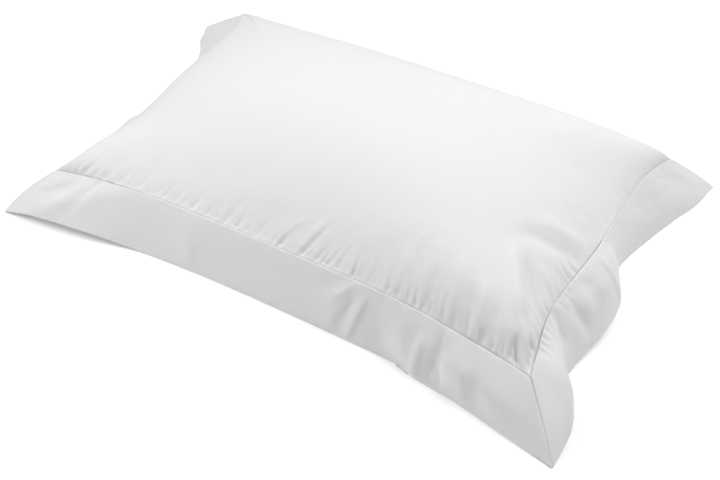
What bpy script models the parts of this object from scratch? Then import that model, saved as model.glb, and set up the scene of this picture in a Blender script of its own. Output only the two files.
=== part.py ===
"""Filled bed pillowcase with a flat mitred border of double cloth, lying on a flat surface."""

import math

import bmesh
import bpy
from mathutils import Vector

# Real cloth: panels cut 750 x 500 mm inside the seam, with a border 75 mm wide all round. Filled,
# the seam draws in to about 655 x 418 mm. A border is double cloth with a soft, loose body.
BORDER_THICKNESS = 0.0022
RIM_HEIGHT = 0.0026
SEAM_GAP = 0.0003
MITRE_GAP = 0.0003

# Crown of the filled panel above the seam, and the share of the underside pressed flat.
CROWN_HEIGHT = 0.0855
UNDERSIDE_PRESS = 1.16
UNDERSIDE_SQUARENESS = 2.6
UNDERSIDE_STEEPNESS = 0.42

# Resolution of the meshes, in faces.
BODY_FACES = (44, 30)
LONG_STRIP_FACES = (64, 6)
SHORT_STRIP_FACES = (60, 6)

WHITE_COTTON = (0.86, 0.86, 0.87, 1.0)

# Seam corners of the filled case and tips of the border corners. Columns: seam x, seam y,
# seam height, tip x, tip y, tip height, bow of the mitre line above its chord.
CORNERS = {
    "near_left": (-0.321, -0.206, 0.057, -0.377, -0.259, 0.000, 0.0050),
    "near_right": (0.334, -0.209, 0.056, 0.389, -0.263, 0.000, 0.0025),
    "far_right": (0.338, 0.208, 0.063, 0.391, 0.261, 0.000, 0.0015),
    "far_left": (-0.339, 0.217, 0.058, -0.422, 0.233, 0.002, 0.0010),
}

# Sides of the seam. Columns: first corner, second corner, outward direction, draw-in at the
# middle, lift at the middle, squareness of the drawn-in line.
SIDES = {
    "near": ("near_left", "near_right", (0.0, -1.0), 0.012, 0.016, 3.2),
    "right": ("near_right", "far_right", (1.0, 0.0), 0.015, 0.0145, 3.7),
    "far": ("far_left", "far_right", (0.0, 1.0), 0.037, -0.001, 3.2),
    "left": ("near_left", "far_left", (-1.0, 0.0), 0.030, -0.009, 3.7),
}

# Waves of the seam line. Columns: place along the side (-1 to 1), half width, outward, upward.
SEAM_WAVES = {
    "near": ((0.44, 0.30, 0.000, 0.0028), (0.80, 0.16, 0.000, -0.0012)),
    "right": ((-0.60, 0.26, -0.0050, 0.000), (0.05, 0.30, 0.0034, 0.000), (0.70, 0.25, -0.0015, 0.000)),
    "far": ((-0.20, 0.40, 0.0020, 0.001),),
    "left": ((0.10, 0.40, 0.0020, 0.001),),
}

# Crown profile towards each seam. Columns: place along the side, squareness, steepness at the seam.
PROFILES = {
    "near": (
        (-1.00, 2.6, 0.32),
        (-0.94, 2.6, 0.32),
        (-0.72, 2.4, 0.62),
        (0.10, 2.4, 0.62),
        (0.50, 2.7, 0.58),
        (0.85, 3.1, 0.52),
        (1.00, 3.1, 0.52),
    ),
    "right": ((-1.00, 2.8, 0.45), (0.35, 2.8, 0.45), (0.80, 3.2, 0.37), (1.00, 3.2, 0.37)),
    "far": ((-1.00, 4.1, 0.42), (1.00, 4.1, 0.42)),
    "left": (
        (-1.00, 2.35, 0.34),
        (-0.75, 2.35, 0.35),
        (-0.50, 2.35, 0.435),
        (-0.25, 2.35, 0.400),
        (0.00, 2.35, 0.355),
        (0.40, 2.35, 0.335),
        (1.00, 2.35, 0.34),
    ),
}

# Outer edge of each border between its mitres. Columns: place along the side (-1 to 1),
# horizontal reach from the seam line, height of the edge's underside above the surface.
EDGES = {
    "near": (
        (-0.92, 0.053, 0.012),
        (-0.75, 0.045, 0.012),
        (-0.65, 0.037, 0.006),
        (-0.57, 0.031, 0.001),
        (-0.45, 0.028, 0.000),
        (-0.20, 0.025, 0.000),
        (0.10, 0.024, 0.000),
        (0.47, 0.024, 0.000),
        (0.55, 0.025, 0.000),
        (0.62, 0.0315, 0.000),
        (0.75, 0.036, 0.000),
        (0.88, 0.0455, 0.000),
    ),
    "right": (
        (-0.90, 0.061, 0.013),
        (-0.82, 0.055, 0.021),
        (-0.735, 0.0385, 0.013),
        (-0.685, 0.034, 0.001),
        (-0.60, 0.037, 0.003),
        (-0.48, 0.042, 0.006),
        (-0.25, 0.0465, 0.013),
        (-0.06, 0.0395, 0.013),
        (0.06, 0.022, 0.011),
        (0.13, 0.015, 0.009),
        (0.18, 0.015, 0.001),
        (0.27, 0.0155, 0.001),
        (0.45, 0.0235, 0.001),
        (0.75, 0.0415, 0.001),
        (0.89, 0.052, 0.001),
    ),
    "far": (
        (-0.93, 0.033, 0.008),
        (-0.80, 0.044, 0.010),
        (-0.55, 0.057, 0.003),
        (-0.30, 0.059, 0.000),
        (0.00, 0.060, 0.004),
        (0.25, 0.059, 0.000),
        (0.55, 0.057, 0.005),
        (0.85, 0.054, 0.000),
    ),
    "left": (
        (-0.90, 0.054, 0.000),
        (-0.65, 0.057, 0.000),
        (-0.35, 0.061, 0.005),
        (0.00, 0.062, 0.000),
        (0.30, 0.061, 0.004),
        (0.60, 0.060, 0.000),
        (0.78, 0.0715, 0.001),
        (0.86, 0.081, 0.001),
        (0.92, 0.0815, 0.002),
    ),
}

# Soft folds across each border. Columns: place at the seam, place at the outer edge, half width
# towards the first corner, half width towards the second corner, height at mid width.
FOLDS = {
    "near": (
        (-0.74, -0.90, 0.060, 0.070, 0.0045),
        (-0.36, -0.33, 0.050, 0.070, 0.0030),
        (0.30, 0.27, 0.060, 0.060, 0.0030),
        (0.53, 0.57, 0.050, 0.045, 0.0060),
        (0.76, 0.73, 0.050, 0.050, 0.0030),
    ),
    "right": (
        (-0.68, -0.78, 0.200, 0.075, 0.0085),
        (-0.50, -0.46, 0.070, 0.070, 0.0020),
        (-0.02, 0.08, 0.240, 0.070, 0.0075),
        (0.72, 0.80, 0.100, 0.100, 0.0030),
    ),
    "far": ((-0.75, -0.70, 0.120, 0.120, 0.0020), (0.10, 0.05, 0.200, 0.200, 0.0040)),
    "left": ((-0.35, -0.30, 0.200, 0.200, 0.0040), (0.55, 0.50, 0.160, 0.160, 0.0040)),
}


def bell(offset, half_width):
    """A smooth bump of height 1, down to nothing at about two half widths."""
    return math.exp(-((offset / half_width) ** 2))


def clamp(value, low, high):
    return max(low, min(high, value))


def seam_corner(corner):
    return Vector(CORNERS[corner][0:3])


def tip_corner(corner):
    return Vector(CORNERS[corner][3:6])


def seam_point(side, place):
    """The seam line of one side, place running from -1 at its first corner to 1 at its second."""
    first, second, outward, draw_in, lift, squareness = SIDES[side]
    share = (place + 1.0) / 2.0
    point = seam_corner(first).lerp(seam_corner(second), share)
    fullness = 1.0 - abs(place) ** squareness
    point -= Vector((outward[0], outward[1], 0.0)) * draw_in * fullness
    point.z += lift * fullness
    for centre, half_width, out, up in SEAM_WAVES[side]:
        wave = bell(place - centre, half_width) * (1.0 - place**8)
        point += Vector((outward[0] * out, outward[1] * out, up)) * wave
    return point


def smooth_table(rows, place, column):
    """A value between the rows of a table, by a smooth curve through all of them."""
    last = len(rows) - 1
    low = 0
    while low < last - 1 and rows[low + 1][0] < place:
        low += 1
    before = rows[max(low - 1, 0)]
    start = rows[low]
    end = rows[low + 1]
    after = rows[min(low + 2, last)]
    span = end[0] - start[0]
    share = clamp((place - start[0]) / span, 0.0, 1.0)
    slope_start = (end[column] - before[column]) / max(end[0] - before[0], 1e-6) * span
    slope_end = (after[column] - start[column]) / max(after[0] - start[0], 1e-6) * span
    square = share * share
    cube = square * share
    value = (2 * cube - 3 * square + 1) * start[column] + (3 * square - 2 * cube) * end[column]
    return value + (cube - 2 * square + share) * slope_start + (cube - square) * slope_end


def edge_rows(side):
    """The outer edge's table with the two tips of the mitred corners added at its ends."""
    first, second, outward = SIDES[side][0:3]
    axis = Vector((outward[0], outward[1], 0.0))
    rows = []
    for corner, place in ((first, -1.0), (second, 1.0)):
        reach = (tip_corner(corner) - seam_corner(corner)).dot(axis)
        rows.append((place, reach, CORNERS[corner][5]))
    return (rows[0],) + EDGES[side] + (rows[1],)


def edge_point(side, place):
    """The underside of the border's outer edge."""
    first, second, outward = SIDES[side][0:3]
    out = Vector((outward[0], outward[1], 0.0))
    along = Vector((abs(outward[1]), abs(outward[0]), 0.0))
    corner = second if place > 0.0 else first
    rows = edge_rows(side)
    point = seam_point(side, place)
    spread = (tip_corner(corner) - seam_corner(corner)).dot(along)
    point += along * spread * clamp((abs(place) - 0.45) / 0.55, 0.0, 1.0) ** 2.2
    point += out * smooth_table(rows, place, 1)
    point.z = max(smooth_table(rows, place, 2), 0.0)
    return point


def mitre_frame(corner):
    """Unit vectors at a corner: along the mitre, upright to it, and level across it."""
    run = (tip_corner(corner) - seam_corner(corner)).normalized()
    across = run.cross(Vector((0.0, 0.0, 1.0))).normalized()
    return run, across.cross(run), across


def strip_frame(side, place):
    """Outward-and-up direction of a border at this place, turning into the mitre's own."""
    first, second, outward = SIDES[side][0:3]
    out = Vector((outward[0], outward[1], 0.0))
    run = edge_point(side, place) - seam_point(side, place)
    level = run.dot(out)
    upright = Vector((-run.z * out.x, -run.z * out.y, level)).normalized()
    corner = second if place > 0.0 else first
    share = clamp((abs(place) - 0.86) / 0.14, 0.0, 1.0)
    share = share * share * (3.0 - 2.0 * share)
    return upright.lerp(mitre_frame(corner)[1], share).normalized(), share


def strip_point(side, place, width, upper):
    """A border point. Width runs from 0 at the seam to 1 at the outer edge."""
    first, second, outward = SIDES[side][0:3]
    corner = second if place > 0.0 else first
    out = Vector((outward[0], outward[1], 0.0))
    inner = seam_point(side, place) - Vector((0.0, 0.0, BORDER_THICKNESS))
    upright, share = strip_frame(side, place)
    point = inner.lerp(edge_point(side, place), width)
    arch = 4.0 * width * (1.0 - width)
    bow = 0.002 * (1.0 - share) + CORNERS[corner][6] * share
    for seam_place, edge_place, half_first, half_second, height in FOLDS[side]:
        offset = place - (seam_place + (edge_place - seam_place) * width)
        half_width = half_first if offset < 0.0 else half_second
        bow += height * bell(offset, half_width) * (1.0 - share)
    point += upright * arch * bow
    if upper:
        turn = clamp(width / 0.2, 0.0, 1.0)
        lift = Vector((0.0, 0.0, 1.0)).lerp(upright, turn).normalized()
        point += lift * BORDER_THICKNESS
    point += out * SEAM_GAP * (1.0 - width)
    if abs(place) > 0.999:
        across = mitre_frame(corner)[2]
        inward = 1.0 if across.dot(seam_point(side, 0.0) - point) > 0.0 else -1.0
        point += across * inward * MITRE_GAP / 2.0
    point.z = max(point.z, 0.0)
    return point


def seam_surface(along, across):
    """A smooth sheet spanned between the four sides of the seam."""
    share_x = (along + 1.0) / 2.0
    share_y = (across + 1.0) / 2.0
    point = seam_point("near", along) * (1.0 - share_y) + seam_point("far", along) * share_y
    point += seam_point("left", across) * (1.0 - share_x) + seam_point("right", across) * share_x
    point -= seam_corner("near_left") * (1.0 - share_x) * (1.0 - share_y)
    point -= seam_corner("near_right") * share_x * (1.0 - share_y)
    point -= seam_corner("far_right") * share_x * share_y
    point -= seam_corner("far_left") * (1.0 - share_x) * share_y
    return point


def fullness(place, squareness, steepness):
    return max(1.0 - abs(place) ** squareness, 0.0) ** steepness


def side_fullness(side, place, along_side):
    """How full the top is at this place across, by the profile of that side's own section."""
    rows = PROFILES[side]
    return fullness(place, smooth_table(rows, along_side, 1), smooth_table(rows, along_side, 2))


def crown(along, across):
    """How full the top is here: 0 at the seam and 1 at the middle."""
    share_x = side_fullness("left" if along < 0.0 else "right", along, across)
    share_y = side_fullness("near" if across < 0.0 else "far", across, along)
    return share_x * share_y


def body_point(along, across, upper):
    """A point of the filled case: its crowned top or its pressed underside."""
    along = math.sin(along * math.pi / 2.0)
    across = math.sin(across * math.pi / 2.0)
    point = seam_surface(along, across)
    if upper:
        point.z += CROWN_HEIGHT * crown(along, across)
        return point
    press = fullness(along, UNDERSIDE_SQUARENESS, UNDERSIDE_STEEPNESS)
    press *= fullness(across, UNDERSIDE_SQUARENESS, UNDERSIDE_STEEPNESS)
    point.z = (point.z - RIM_HEIGHT) * max(1.0 - UNDERSIDE_PRESS * press, 0.0)
    return point


def cloth_material(name):
    material = bpy.data.materials.new(name)
    material.use_nodes = True
    shader = material.node_tree.nodes["Principled BSDF"]
    shader.inputs["Base Color"].default_value = WHITE_COTTON
    shader.inputs["Roughness"].default_value = 0.75
    return material


def closed_sheet(name, faces, place_point, collection):
    """A closed solid from a grid drawn up into a slab, every point then set by its place."""
    mesh_data = bmesh.new()
    bmesh.ops.create_grid(mesh_data, x_segments=faces[0], y_segments=faces[1], size=1.0)
    raised = bmesh.ops.extrude_face_region(mesh_data, geom=mesh_data.faces[:])
    upper = {item for item in raised["geom"] if isinstance(item, bmesh.types.BMVert)}
    for vert in mesh_data.verts:
        vert.co = place_point(clamp(vert.co.x, -1.0, 1.0), clamp(vert.co.y, -1.0, 1.0), vert in upper)
    bmesh.ops.recalc_face_normals(mesh_data, faces=mesh_data.faces[:])
    if mesh_data.calc_volume(signed=True) < 0.0:
        bmesh.ops.reverse_faces(mesh_data, faces=mesh_data.faces[:])
    for face in mesh_data.faces:
        face.smooth = True
    mesh = bpy.data.meshes.new(name)
    mesh_data.to_mesh(mesh)
    mesh_data.free()
    mesh.materials.append(cloth_material(name + "_cotton"))
    solid = bpy.data.objects.new(name, mesh)
    collection.objects.link(solid)
    return solid


def border_strip(side, faces, collection):
    def place_point(along, across, upper):
        return strip_point(side, along, (across + 1.0) / 2.0, upper)

    return closed_sheet("border_" + side, faces, place_point, collection)


def centre_on_base(solids):
    """Moves every mesh so that the bottom centre of the whole object is at the origin."""
    points = [vert.co for solid in solids for vert in solid.data.vertices]
    low = Vector([min(point[axis] for point in points) for axis in range(3)])
    high = Vector([max(point[axis] for point in points) for axis in range(3)])
    shift = Vector((-(low.x + high.x) / 2.0, -(low.y + high.y) / 2.0, -low.z))
    for solid in solids:
        for vert in solid.data.vertices:
            vert.co += shift


def build():
    for item in list(bpy.data.objects):
        bpy.data.objects.remove(item)
    collection = bpy.data.collections.new("bordered_pillowcase")
    bpy.context.scene.collection.children.link(collection)
    solids = [closed_sheet("case_body", BODY_FACES, body_point, collection)]
    solids.append(border_strip("near", LONG_STRIP_FACES, collection))
    solids.append(border_strip("right", SHORT_STRIP_FACES, collection))
    solids.append(border_strip("far", LONG_STRIP_FACES, collection))
    solids.append(border_strip("left", SHORT_STRIP_FACES, collection))
    centre_on_base(solids)


build()
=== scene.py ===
"""Filled pillowcase of plain white cotton with a mitred border, and the small studio it lies in.

The file is laid out as an add-on: its sizes and colours are properties, each piece has an
operator, and a panel in the sidebar lists them. Run as a script, it makes the whole scene.
"""

import math

import bpy
import numpy as np
from bpy.props import FloatProperty, PointerProperty, StringProperty
from bpy.types import Operator, Panel, PropertyGroup
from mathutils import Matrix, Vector


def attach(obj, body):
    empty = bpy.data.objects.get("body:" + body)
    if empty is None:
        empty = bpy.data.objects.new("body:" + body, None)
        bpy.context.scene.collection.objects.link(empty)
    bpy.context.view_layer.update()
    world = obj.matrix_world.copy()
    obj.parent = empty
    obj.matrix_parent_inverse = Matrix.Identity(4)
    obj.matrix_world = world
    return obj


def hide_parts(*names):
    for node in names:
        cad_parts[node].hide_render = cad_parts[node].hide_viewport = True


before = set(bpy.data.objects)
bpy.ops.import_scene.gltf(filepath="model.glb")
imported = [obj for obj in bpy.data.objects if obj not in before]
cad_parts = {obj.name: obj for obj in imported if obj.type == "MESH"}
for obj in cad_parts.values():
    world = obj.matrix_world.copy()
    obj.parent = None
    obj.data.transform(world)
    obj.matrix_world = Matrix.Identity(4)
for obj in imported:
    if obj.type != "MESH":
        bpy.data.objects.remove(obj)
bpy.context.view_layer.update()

bl_info = {
    "name": "Bordered Pillowcase",
    "version": (1, 0, 0),
    "blender": (4, 5, 0),
    "location": "3D View > Sidebar > Pillowcase",
    "description": "Makes a filled cotton pillowcase with a mitred border, and its studio",
    "category": "Object",
}

BODY = "root"

# --- The lie of the case, in metres ---

# The corners, seam, folds and outer edges are the solids' own. The crown falls a little more gently
# than theirs to the near and the right seam, and to the near end of the left one.

# From the middle of these tables to the middle of the part's base.
CENTRING = np.array((0.015557, 0.000953, 0.0))
UP = np.array((0.0, 0.0, 1.0))

# Columns: seam x, seam y, seam height, tip x, tip y, tip height, bow of the mitre line.
CORNERS = {
    "near_left": (-0.321, -0.206, 0.057, -0.377, -0.259, 0.0, 0.0050),
    "near_right": (0.334, -0.209, 0.056, 0.389, -0.263, 0.0, 0.0025),
    "far_right": (0.338, 0.208, 0.063, 0.391, 0.261, 0.0, 0.0015),
    "far_left": (-0.339, 0.217, 0.058, -0.422, 0.233, 0.002, 0.0010),
}

# Columns: first corner, second corner, outward direction, draw-in, lift, squareness.
SIDES = {
    "near": ("near_left", "near_right", (0.0, -1.0), 0.012, 0.016, 3.2),
    "right": ("near_right", "far_right", (1.0, 0.0), 0.015, 0.0145, 3.7),
    "far": ("far_left", "far_right", (0.0, 1.0), 0.037, -0.001, 3.2),
    "left": ("near_left", "far_left", (-1.0, 0.0), 0.030, -0.009, 3.7),
}

# Waves of the seam line. Columns: place (-1 to 1), half width, outward, upward.
SEAM_WAVES = {
    "near": ((0.44, 0.30, 0.0, 0.0028), (0.80, 0.16, 0.0, -0.0012)),
    "right": ((-0.60, 0.26, -0.0050, 0.0), (0.05, 0.30, 0.0034, 0.0), (0.70, 0.25, -0.0015, 0.0)),
    "far": ((-0.20, 0.40, 0.0020, 0.001),),
    "left": ((0.10, 0.40, 0.0020, 0.001),),
}

# Crown profile towards each seam. Columns: place along the side, squareness, steepness at the seam.
PROFILES = {
    "near": (
        (-1.0, 2.4, 0.53), (-0.94, 2.4, 0.53), (-0.72, 1.9, 0.80), (0.10, 1.85, 0.88),
        (0.50, 2.0, 0.84), (0.85, 2.5, 0.68), (1.0, 2.5, 0.68),
    ),
    "right": (
        (-1.0, 2.6, 0.42), (-0.82, 2.5, 0.45), (-0.50, 1.95, 0.66), (0.30, 1.95, 0.66),
        (0.80, 2.9, 0.43), (1.0, 3.1, 0.40),
    ),
    "far": ((-1.0, 4.1, 0.42), (1.0, 4.1, 0.42)),
    "left": (
        (-1.0, 2.35, 0.28), (-0.75, 2.35, 0.32), (-0.50, 2.35, 0.435), (-0.25, 2.35, 0.400),
        (0.0, 2.35, 0.355), (0.40, 2.35, 0.335), (1.0, 2.35, 0.34),
    ),
}

# Outer edge of each border. Columns: place, reach from the seam line, height of its underside.
EDGES = {
    "near": (
        (-0.92, 0.053, 0.012), (-0.75, 0.045, 0.012), (-0.65, 0.037, 0.006), (-0.57, 0.031, 0.001),
        (-0.45, 0.028, 0.0), (-0.20, 0.025, 0.0), (0.10, 0.024, 0.0), (0.47, 0.024, 0.0),
        (0.55, 0.025, 0.0), (0.62, 0.0315, 0.0), (0.75, 0.036, 0.0), (0.88, 0.0455, 0.0),
    ),
    "right": (
        (-0.90, 0.061, 0.013), (-0.82, 0.055, 0.021), (-0.735, 0.0385, 0.013),
        (-0.685, 0.034, 0.001), (-0.60, 0.037, 0.003), (-0.48, 0.042, 0.006),
        (-0.25, 0.0465, 0.013), (-0.06, 0.0395, 0.013), (0.06, 0.022, 0.011), (0.13, 0.015, 0.009),
        (0.18, 0.015, 0.001), (0.27, 0.0155, 0.001), (0.45, 0.0235, 0.001), (0.75, 0.0415, 0.001),
        (0.89, 0.052, 0.001),
    ),
    "far": (
        (-0.93, 0.033, 0.008), (-0.80, 0.044, 0.010), (-0.55, 0.057, 0.003), (-0.30, 0.059, 0.0),
        (0.0, 0.060, 0.004), (0.25, 0.059, 0.0), (0.55, 0.057, 0.005), (0.85, 0.054, 0.0),
    ),
    "left": (
        (-0.90, 0.054, 0.0), (-0.65, 0.057, 0.0), (-0.35, 0.061, 0.005), (0.0, 0.062, 0.0),
        (0.30, 0.061, 0.004), (0.60, 0.060, 0.0), (0.78, 0.0715, 0.001), (0.86, 0.081, 0.001),
        (0.92, 0.0815, 0.002),
    ),
}

# Soft folds across each border, as in the solids. Columns: place at the seam, place at the outer
# edge, half width towards the first corner, towards the second corner, height at mid width.
FOLDS = {
    "near": (
        (-0.74, -0.90, 0.060, 0.070, 0.0045), (-0.36, -0.33, 0.050, 0.070, 0.0030),
        (0.30, 0.27, 0.060, 0.060, 0.0030), (0.53, 0.57, 0.050, 0.045, 0.0060),
        (0.76, 0.73, 0.050, 0.050, 0.0030),
    ),
    "right": (
        (-0.68, -0.78, 0.200, 0.075, 0.0085), (-0.50, -0.46, 0.070, 0.070, 0.0020),
        (-0.02, 0.08, 0.240, 0.070, 0.0075), (0.72, 0.80, 0.100, 0.100, 0.0030),
    ),
    "far": ((-0.75, -0.70, 0.120, 0.120, 0.0020), (0.10, 0.05, 0.200, 0.200, 0.0040)),
    "left": ((-0.35, -0.30, 0.200, 0.200, 0.0040), (0.55, 0.50, 0.160, 0.160, 0.0040)),
}

# Flat cut of the cloth inside the seam, half lengths, and of each border strip.
PANEL_HALF = (0.375, 0.250)
BORDER_WIDTH = 0.075
STRIP_LENGTH = {"near": 0.900, "right": 0.650, "far": 0.900, "left": 0.650}

# Half lengths of the panel seen from above, for spreading its cloth evenly over the crown.
SEEN_HALF = (0.33, 0.21)

# The underside: squareness and steepness towards the rim, and how far past flat it is pressed.
UNDERSIDE_SHAPE = (2.6, 0.42)
UNDERSIDE_PRESS = 1.16

# Mesh of the front panel. Columns: end of the stretch and spacing, in millimetres of flat cloth.
CLOTH_COLUMNS = ((-330.0, 4.0), (60.0, 4.2), (375.0, 3.2))
CLOTH_ROWS = ((-60.0, 3.4), (200.0, 7.5), (250.0, 4.4))

# Mesh of the border strips: spacing in the middle and at the folded edges, in metres.
STRIP_STEP = 0.0024
STRIP_EDGE_STEP = 0.0002

# The coarser cloth that settles: its cells along and across, its frames, and its nature.
SETTLING_CELLS = (100, 68)
SETTLING_FRAMES = 20
CLOTH_SETTINGS = {
    "quality": 5, "mass": 0.15, "tension_stiffness": 20.0, "compression_stiffness": 20.0,
    "shear_stiffness": 8.0, "bending_stiffness": 0.4, "air_damping": 4.0, "shrink_min": -0.001,
}

# Share of the underside's faces that is kept, within this share of the way to the rim, and the
# share past which a point is on the rim.
UNDERSIDE_KEPT = 0.58
UNDERSIDE_INSIDE = 0.97
AT_RIM = 0.999

# Width and depth in millimetres of the cloth that turns down into the seam, and how much of that
# move is sideways at the rim itself.
SEAM_TUCK = (1.8, 1.0)
RIM_SLIDE = 0.3

# Share of a border's half length over which it turns into its mitre, and its bow before that.
MITRE_TURN = 0.14
BORDER_BOW = 0.002

# Where the tips' spread along a side begins, and the power by which it grows.
SPREAD_START = 0.45
SPREAD_POWER = 2.2

# Share of a border's width over which its thickness turns from upright to square with the strip.
SEAM_TURN = 0.2

# How deep the border's folded edges roll, as a share of its thickness, and the same for the mitres
# after the width of their roll in metres.
FOLD_DEPTH = 0.65
MITRE_ROLL = (0.0014, 0.60)

# How far the mitred ends stand back from the mitre line, at the seam and at the tip, and the
# share of the strip over which they draw back.
MITRE_GAP = (0.0004, 0.0009)
MITRE_DRAW = 0.012

# The stitch line: inset from the border's inner edge, share of a stitch that shows, and its dip.
STITCH_INSET = 0.0019
STITCH_SHOWN = 0.80
STITCH_DIP = 0.00025

# A crease runs past its ends by this share of its length, and fades in and out over these shares.
CREASE_OVERRUN = 0.15
CREASE_FADES = (0.4, 0.5)

# Creases fade this near to a seam or an edge, in millimetres, to this share on the panel and on
# the borders.
CREASE_MARGIN = 3.0
PANEL_CREASE_LEFT = 0.15
BORDER_CREASE_LEFT = 0.1

# How unevenly gathers fall. The shift either way and the half width, at the seam and added at the
# end, are shares of the spacing. Lengths and depths are the least and most shares of the row's. A
# gather deepens from half over its mouth, in millimetres.
GATHER_SHIFT = 0.40
GATHER_HALF_WIDTHS = (0.24, 0.18)
GATHER_LENGTHS = (0.40, 1.40)
GATHER_DEPTHS = (0.25, 1.25)
GATHER_SLANT = 0.12
GATHER_MOUTH = 5.0

# Seeds of the chance in each side's gathers: on the panel, and on the border.
GATHER_SEEDS = {"near": (11, 44), "right": (12, 45), "far": (13, 43), "left": (14, 44)}

# Creases pressed into the panel. Columns: start x, start y, end x, end y in flat panel
# millimetres from its middle, half width at the start, at the end, height (mm, valleys below 0).
PANEL_CREASES = (
    (-350, -246, -338, -205, 6, 9, -1.2), (-62, -248, -64, -210, 4, 6, -1.0),
    (-18, -248, -8, -195, 16, 22, -1.6), (0, -248, 32, -200, 5, 7, 1.4),
    (35, -246, 58, -200, 5, 7, 1.4), (118, -246, 122, -185, 6, 9, 1.2),
    (150, -246, 152, -180, 7, 10, -1.3), (176, -246, 178, -190, 6, 8, 1.4),
    (212, -248, 206, -195, 5, 8, 1.5), (224, -249, 217, -195, 5, 7, -1.8),
    (252, -248, 249, -170, 6, 10, 2.4), (274, -250, 270, -200, 7, 9, -1.4),
    (289, -248, 285, -185, 6, 9, 2.8), (311, -249, 308, -200, 6, 8, -1.7),
    (349, -264, 342, -220, 8, 8, -8.0), (352, -246, 350, -212, 5, 6, 2.0),
    (296, -110, 345, -205, 20, 8, 5.6), (342, -200, 366, -232, 7, 5, 2.6),
    (368, -246, 362, -205, 6, 8, -4.5), (286, -84, 366, -60, 14, 9, -3.6),
    (296, -50, 364, -36, 10, 7, 2.0), (306, -112, 362, -168, 11, 9, -2.8),
    (330, -110, 366, -125, 7, 6, 1.6), (320, 0, 368, 6, 8, 7, -1.0),
    (356, 256, 336, 206, 8, 10, -5.0), (374, 236, 345, 212, 6, 8, -3.2),
    (-352, 248, -330, 212, 7, 9, -2.4),
)

# Gathers where the drawn-in seam puckers the panel. Columns: start and end along the side's flat
# seam in millimetres from its middle, spacing, length inwards, depth in millimetres, lean.
PUCKERS = {
    "near": (
        (-352, -180, 9, 22, 2.2, 0.10), (-180, 40, 9, 24, 2.0, 0.15),
        (-300, -20, 16, 44, 1.7, 0.20), (-20, 100, 11, 50, 2.4, 0.40),
        (100, 200, 10, 48, 1.9, 0.0), (200, 345, 12, 56, 2.0, -0.05),
        (40, 290, 7.5, 18, 2.2, 0.0), (290, 352, 8.5, 24, 3.0, -0.05),
    ),
    "right": (
        (-230, -60, 10.5, 28, 2.5, 0.25), (-60, 60, 15, 24, 1.7, 0.15),
        (60, 195, 13, 18, 1.4, -0.10), (195, 240, 9, 26, 2.8, -0.20),
    ),
    "far": ((-350, 350, 15, 30, 2.0, 0.0),),
    "left": ((-225, 225, 14, 26, 2.0, 0.0),),
}

# Creases on each border. Columns: start place, start width share, end place, end width share,
# half width in millimetres at the start, at the end, height in millimetres.
BORDER_CREASES = {
    "near": (
        (-0.83, 0.05, -0.89, 0.85, 6, 9, 1.7), (-0.79, 0.05, -0.83, 0.85, 7, 10, -2.6),
        (-0.88, 0.20, -0.95, 0.60, 9, 9, -1.6), (-0.31, 0.40, -0.31, 0.90, 10, 10, -1.2),
        (-0.12, 0.36, 0.20, 0.36, 10, 10, -1.6), (0.335, 0.05, 0.24, 0.45, 4, 7, 2.2),
        (0.30, 0.10, 0.20, 0.22, 7, 9, -1.6), (0.345, 0.25, 0.29, 0.90, 6, 9, -2.2),
        (0.385, 0.15, 0.335, 1.0, 6, 7, 2.6), (0.46, 0.50, 0.45, 1.0, 18, 20, -2.2),
        (0.618, 0.25, 0.600, 1.0, 7, 9, 3.2), (0.690, 0.12, 0.672, 1.0, 10, 14, -5.4),
        (0.700, 0.05, 0.695, 0.30, 4, 5, 1.6), (0.77, 0.35, 0.76, 0.98, 7, 10, 1.2),
        (0.82, 0.30, 0.81, 0.98, 9, 13, -1.5), (0.60, 0.40, 0.97, 0.55, 20, 24, 6.5),
    ),
    "right": (
        (-0.72, 0.02, -0.79, 0.45, 6, 7, 2.2), (-0.78, 0.40, -0.82, 0.95, 6, 7, 1.8),
        (-0.60, 0.03, -0.62, 0.55, 8, 12, -2.6), (-0.94, 0.10, -0.90, 0.70, 12, 12, -1.6),
        (-0.08, 0.10, -0.09, 0.98, 7, 8, 1.8), (-0.27, 0.10, -0.28, 0.60, 16, 18, -2.2),
        (-0.46, 0.25, -0.42, 0.85, 12, 14, -2.4), (-0.42, 0.42, -0.12, 0.45, 17, 17, 3.6),
        (0.45, 0.20, 0.95, 0.36, 14, 18, -3.0), (0.93, 0.15, 0.95, 0.80, 10, 12, 1.4),
    ),
    "far": ((0.30, 0.05, 0.34, 0.95, 8, 10, -2.0), (-0.40, 0.05, -0.44, 0.95, 8, 10, 2.0)),
    "left": ((-0.20, 0.05, -0.24, 0.95, 8, 10, 2.0), (0.25, 0.05, 0.30, 0.95, 8, 10, -2.0)),
}

# Short gathers along the inner edge of each border, with the same columns as the panel's.
BORDER_PUCKERS = {
    "near": ((-350, 330, 15, 14, 0.9, 0.0),),
    "right": ((-215, -95, 10, 24, 2.0, 0.2), (-95, 225, 15, 14, 0.9, 0.0)),
    "far": ((-350, 350, 15, 14, 0.9, 0.0),),
    "left": ((-225, 225, 15, 14, 0.9, 0.0),),
}

# Patterns of the cloth, in metres. The threads lie twice as far apart as a real percale's, so that
# they show close up. Slubs are counted along and across a thread.
THREAD_SPACING = 0.0005
WEAVE_DEPTH = 0.00005
SLUB_DEPTH = WEAVE_DEPTH / 1.5
SLUBS_PER_METRE = (60.0, 900.0)
CRUMPLE_DEPTH = 0.00025
CRUMPLES_PER_METRE = 34.0
FIBRES_PER_METRE = 2200.0
FIBRE_DEPTH = 0.0001

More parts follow.
